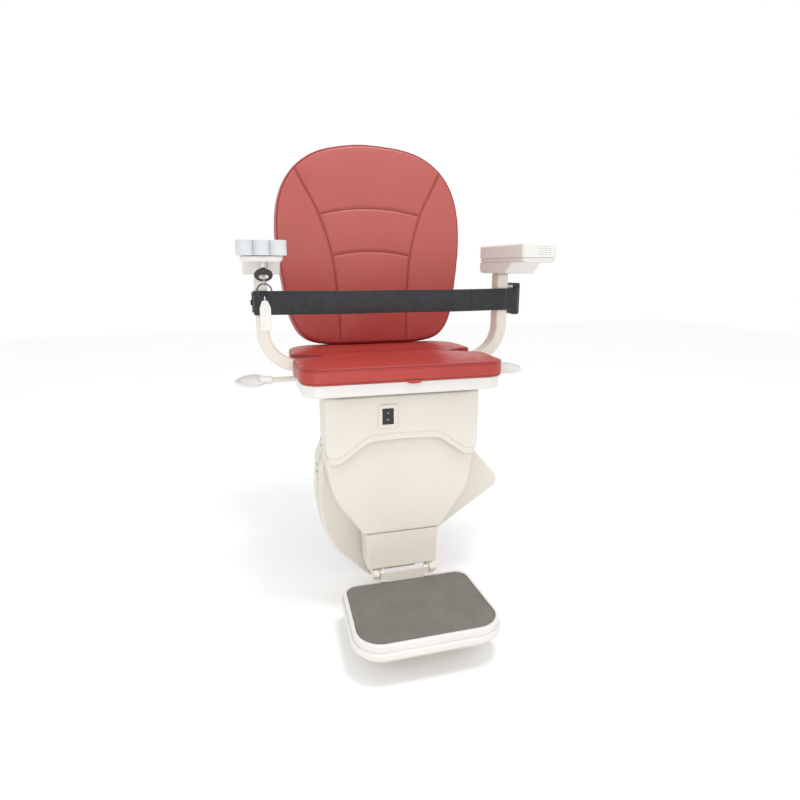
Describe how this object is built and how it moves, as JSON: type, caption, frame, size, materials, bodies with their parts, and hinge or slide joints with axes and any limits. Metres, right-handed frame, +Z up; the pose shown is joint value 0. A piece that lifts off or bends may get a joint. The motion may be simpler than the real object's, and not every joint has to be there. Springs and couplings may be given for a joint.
{
  "type": "stairlift chair",
  "caption": "Seated stair chair carriage with swivelling padded seat and backrest, folding arm pads, lap belt, covered drive tower and folding footrest, for a wall-side stair rail",
  "frame": {"origin": "middle of the four-bolt pattern on the rail-side face of the carriage plate", "axes": "+Z up, +Y towards the rail and the wall behind the seat, +X to the right as seen by someone who stands in front of the chair"},
  "size_m": [0.704, 0.6221, 1.0443],
  "materials": {
    "ivory_cover": "satin moulded ivory plastic",
    "white_shell": "satin white plastic",
    "black_plastic": "fine matt black plastic",
    "grey_toggle": "silver-grey satin plastic",
    "red_leatherette": "red grained leatherette over foam",
    "grey_mat": "warm grey ribbed rubber",
    "roller_polymer": "hard dark polymer tread",
    "belt_fabric": "black woven webbing",
    "red_button": "glossy red plastic",
    "frame_steel": "dark grey powder coat",
    "cover_paint": "ivory powder coat",
    "bright_steel": "bright zinc-plated steel",
    "aluminium_part": "as-cast aluminium",
    "copper_contact": "bare contact metal",
    "battery_case": "black battery case",
    "board_green": "green circuit board"
  },
  "bodies": {
    "carriage": {"carriage_plate": "frame_steel", "left_side_cover": "ivory_cover", "right_side_cover": "ivory_cover", "front_shield": "ivory_cover", "apron_cover": "ivory_cover", "tower_rear_cover": "ivory_cover", "leg_panel": "ivory_cover", "main_frame": "cover_paint", "roller_axles": "bright_steel", "gearbox": "aluminium_part", "drive_motor": "frame_steel", "batteries": "battery_case", "charge_contacts": "copper_contact", "control_board": "board_green", "switch_bezel": "ivory_cover", "cover_screws": "bright_steel", "foot_hinge_pin": "cover_paint", "swivel_bearing": "bright_steel"},
    "pinion": {"drive_pinion": "bright_steel"},
    "rocker": {"power_rocker": "black_plastic"},
    "footrest": {"foot_tray": "white_shell", "anti_slip_mat": "grey_mat", "tray_hinge": "cover_paint"},
    "safety_plate": {"safety_pan": "ivory_cover"},
    "seat": {"seat_cushion": "red_leatherette", "seat_pan": "white_shell", "seat_frame": "frame_steel", "arm_brackets": "cover_paint", "arm_hinge_pins": "bright_steel", "swivel_plate": "frame_steel", "backrest_cushion": "red_leatherette", "backrest_shell": "black_plastic", "backrest_brackets": "frame_steel", "left_arm_upright": "cover_paint", "right_arm_upright": "cover_paint", "belt_webbing": "belt_fabric", "belt_anchor": "black_plastic", "belt_tongue": "bright_steel", "buckle_body": "black_plastic", "buckle_bracket": "cover_paint"},
    "lever": {"lever_shaft": "cover_paint", "left_swivel_lever": "white_shell", "right_swivel_lever": "white_shell"},
    "latch": {"swivel_latch": "bright_steel"},
    "left_arm": {"left_arm_pad": "white_shell", "left_arm_base": "white_shell", "key_switch": "bright_steel"},
    "right_arm": {"right_arm_pad": "white_shell", "right_arm_base": "white_shell", "call_speaker": "black_plastic"},
    "toggle": {"control_toggle": "grey_toggle"},
    "key_body": {"key": "black_plastic"},
    "fob": {"key_link": "bright_steel", "key_ring": "black_plastic", "key_fob": "white_shell"},
    "button": {"buckle_button": "red_button"},
    "roller_1": {"guide_roller_1": "roller_polymer"},
    "roller_2": {"guide_roller_2": "roller_polymer"},
    "roller_3": {"guide_roller_3": "roller_polymer"},
    "roller_4": {"guide_roller_4": "roller_polymer"}
  },
  "joints": [
    {"name": "pinion_spin", "type": "hinge", "parent": "carriage", "child": "pinion", "pos_m": [0.045, 0.021, 0.02], "axis": [0, 1, 0], "continuous": true},
    {"name": "roller_1_spin", "type": "hinge", "parent": "carriage", "child": "roller_1", "pos_m": [-0.07396, 0.022, -0.11477], "axis": [0, 1, 0], "continuous": true},
    {"name": "roller_2_spin", "type": "hinge", "parent": "carriage", "child": "roller_2", "pos_m": [0.15817, 0.022, 0.04181], "axis": [0, 1, 0], "continuous": true},
    {"name": "roller_3_spin", "type": "hinge", "parent": "carriage", "child": "roller_3", "pos_m": [-0.12317, 0.022, -0.04181], "axis": [0, 1, 0], "continuous": true},
    {"name": "roller_4_spin", "type": "hinge", "parent": "carriage", "child": "roller_4", "pos_m": [0.10896, 0.022, 0.11477], "axis": [0, 1, 0], "continuous": true},
    {"name": "rocker_tilt", "type": "hinge", "parent": "carriage", "child": "rocker", "pos_m": [-0.038, -0.191, 0.231], "axis": [1, 0, 0], "range_deg": [-8, 8]},
    {"name": "footrest_fold", "type": "hinge", "parent": "carriage", "child": "footrest", "pos_m": [0, -0.192, -0.145], "axis": [-1, 0, 0], "range_deg": [0, 88]},
    {"name": "safety_plate_lift", "type": "slide", "parent": "footrest", "child": "safety_plate", "axis": [0, 0, 1], "range_m": [0, 0.004], "stiffness_N_per_m": 800, "springref_m": -0.02},
    {"name": "seat_swivel", "type": "hinge", "parent": "carriage", "child": "seat", "pos_m": [0, -0.095, 0.27], "axis": [0, 0, 1], "range_deg": [-80, 80]},
    {"name": "lever_turn", "type": "hinge", "parent": "seat", "child": "lever", "pos_m": [0, -0.04, 0.293], "axis": [1, 0, 0], "range_deg": [0, 20], "stiffness_Nm_per_rad": 1.5},
    {"name": "latch_lift", "type": "slide", "parent": "seat", "child": "latch", "axis": [0, 0, 1], "range_m": [0, 0.007]},
    {"name": "left_arm_fold", "type": "hinge", "parent": "seat", "child": "left_arm", "pos_m": [-0.2845, -0.027, 0.54], "axis": [-1, 0, 0], "range_deg": [0, 90]},
    {"name": "right_arm_fold", "type": "hinge", "parent": "seat", "child": "right_arm", "pos_m": [0.2845, -0.027, 0.54], "axis": [-1, 0, 0], "range_deg": [0, 90]},
    {"name": "toggle_rock", "type": "hinge", "parent": "left_arm", "child": "toggle", "pos_m": [-0.2845, -0.219, 0.577], "axis": [0, 0, 1], "range_deg": [-6, 6], "stiffness_Nm_per_rad": 0.4},
    {"name": "key_turn", "type": "hinge", "parent": "left_arm", "child": "key_body", "pos_m": [-0.282, -0.196, 0.548], "axis": [0, 0, 1], "range_deg": [0, 60]},
    {"name": "fob_swing", "type": "hinge", "parent": "key_body", "child": "fob", "pos_m": [-0.282, -0.196, 0.5178], "axis": [1, 0, 0], "range_deg": [-18, 18]},
    {"name": "buckle_press", "type": "slide", "parent": "seat", "child": "button", "axis": [-1, 0, 0], "range_m": [0, 0.002], "stiffness_N_per_m": 400}
  ],
  "couplings": [
    {"joint": "latch_lift", "follows": "lever_turn", "m_per_rad": 0.019767}
  ]
}
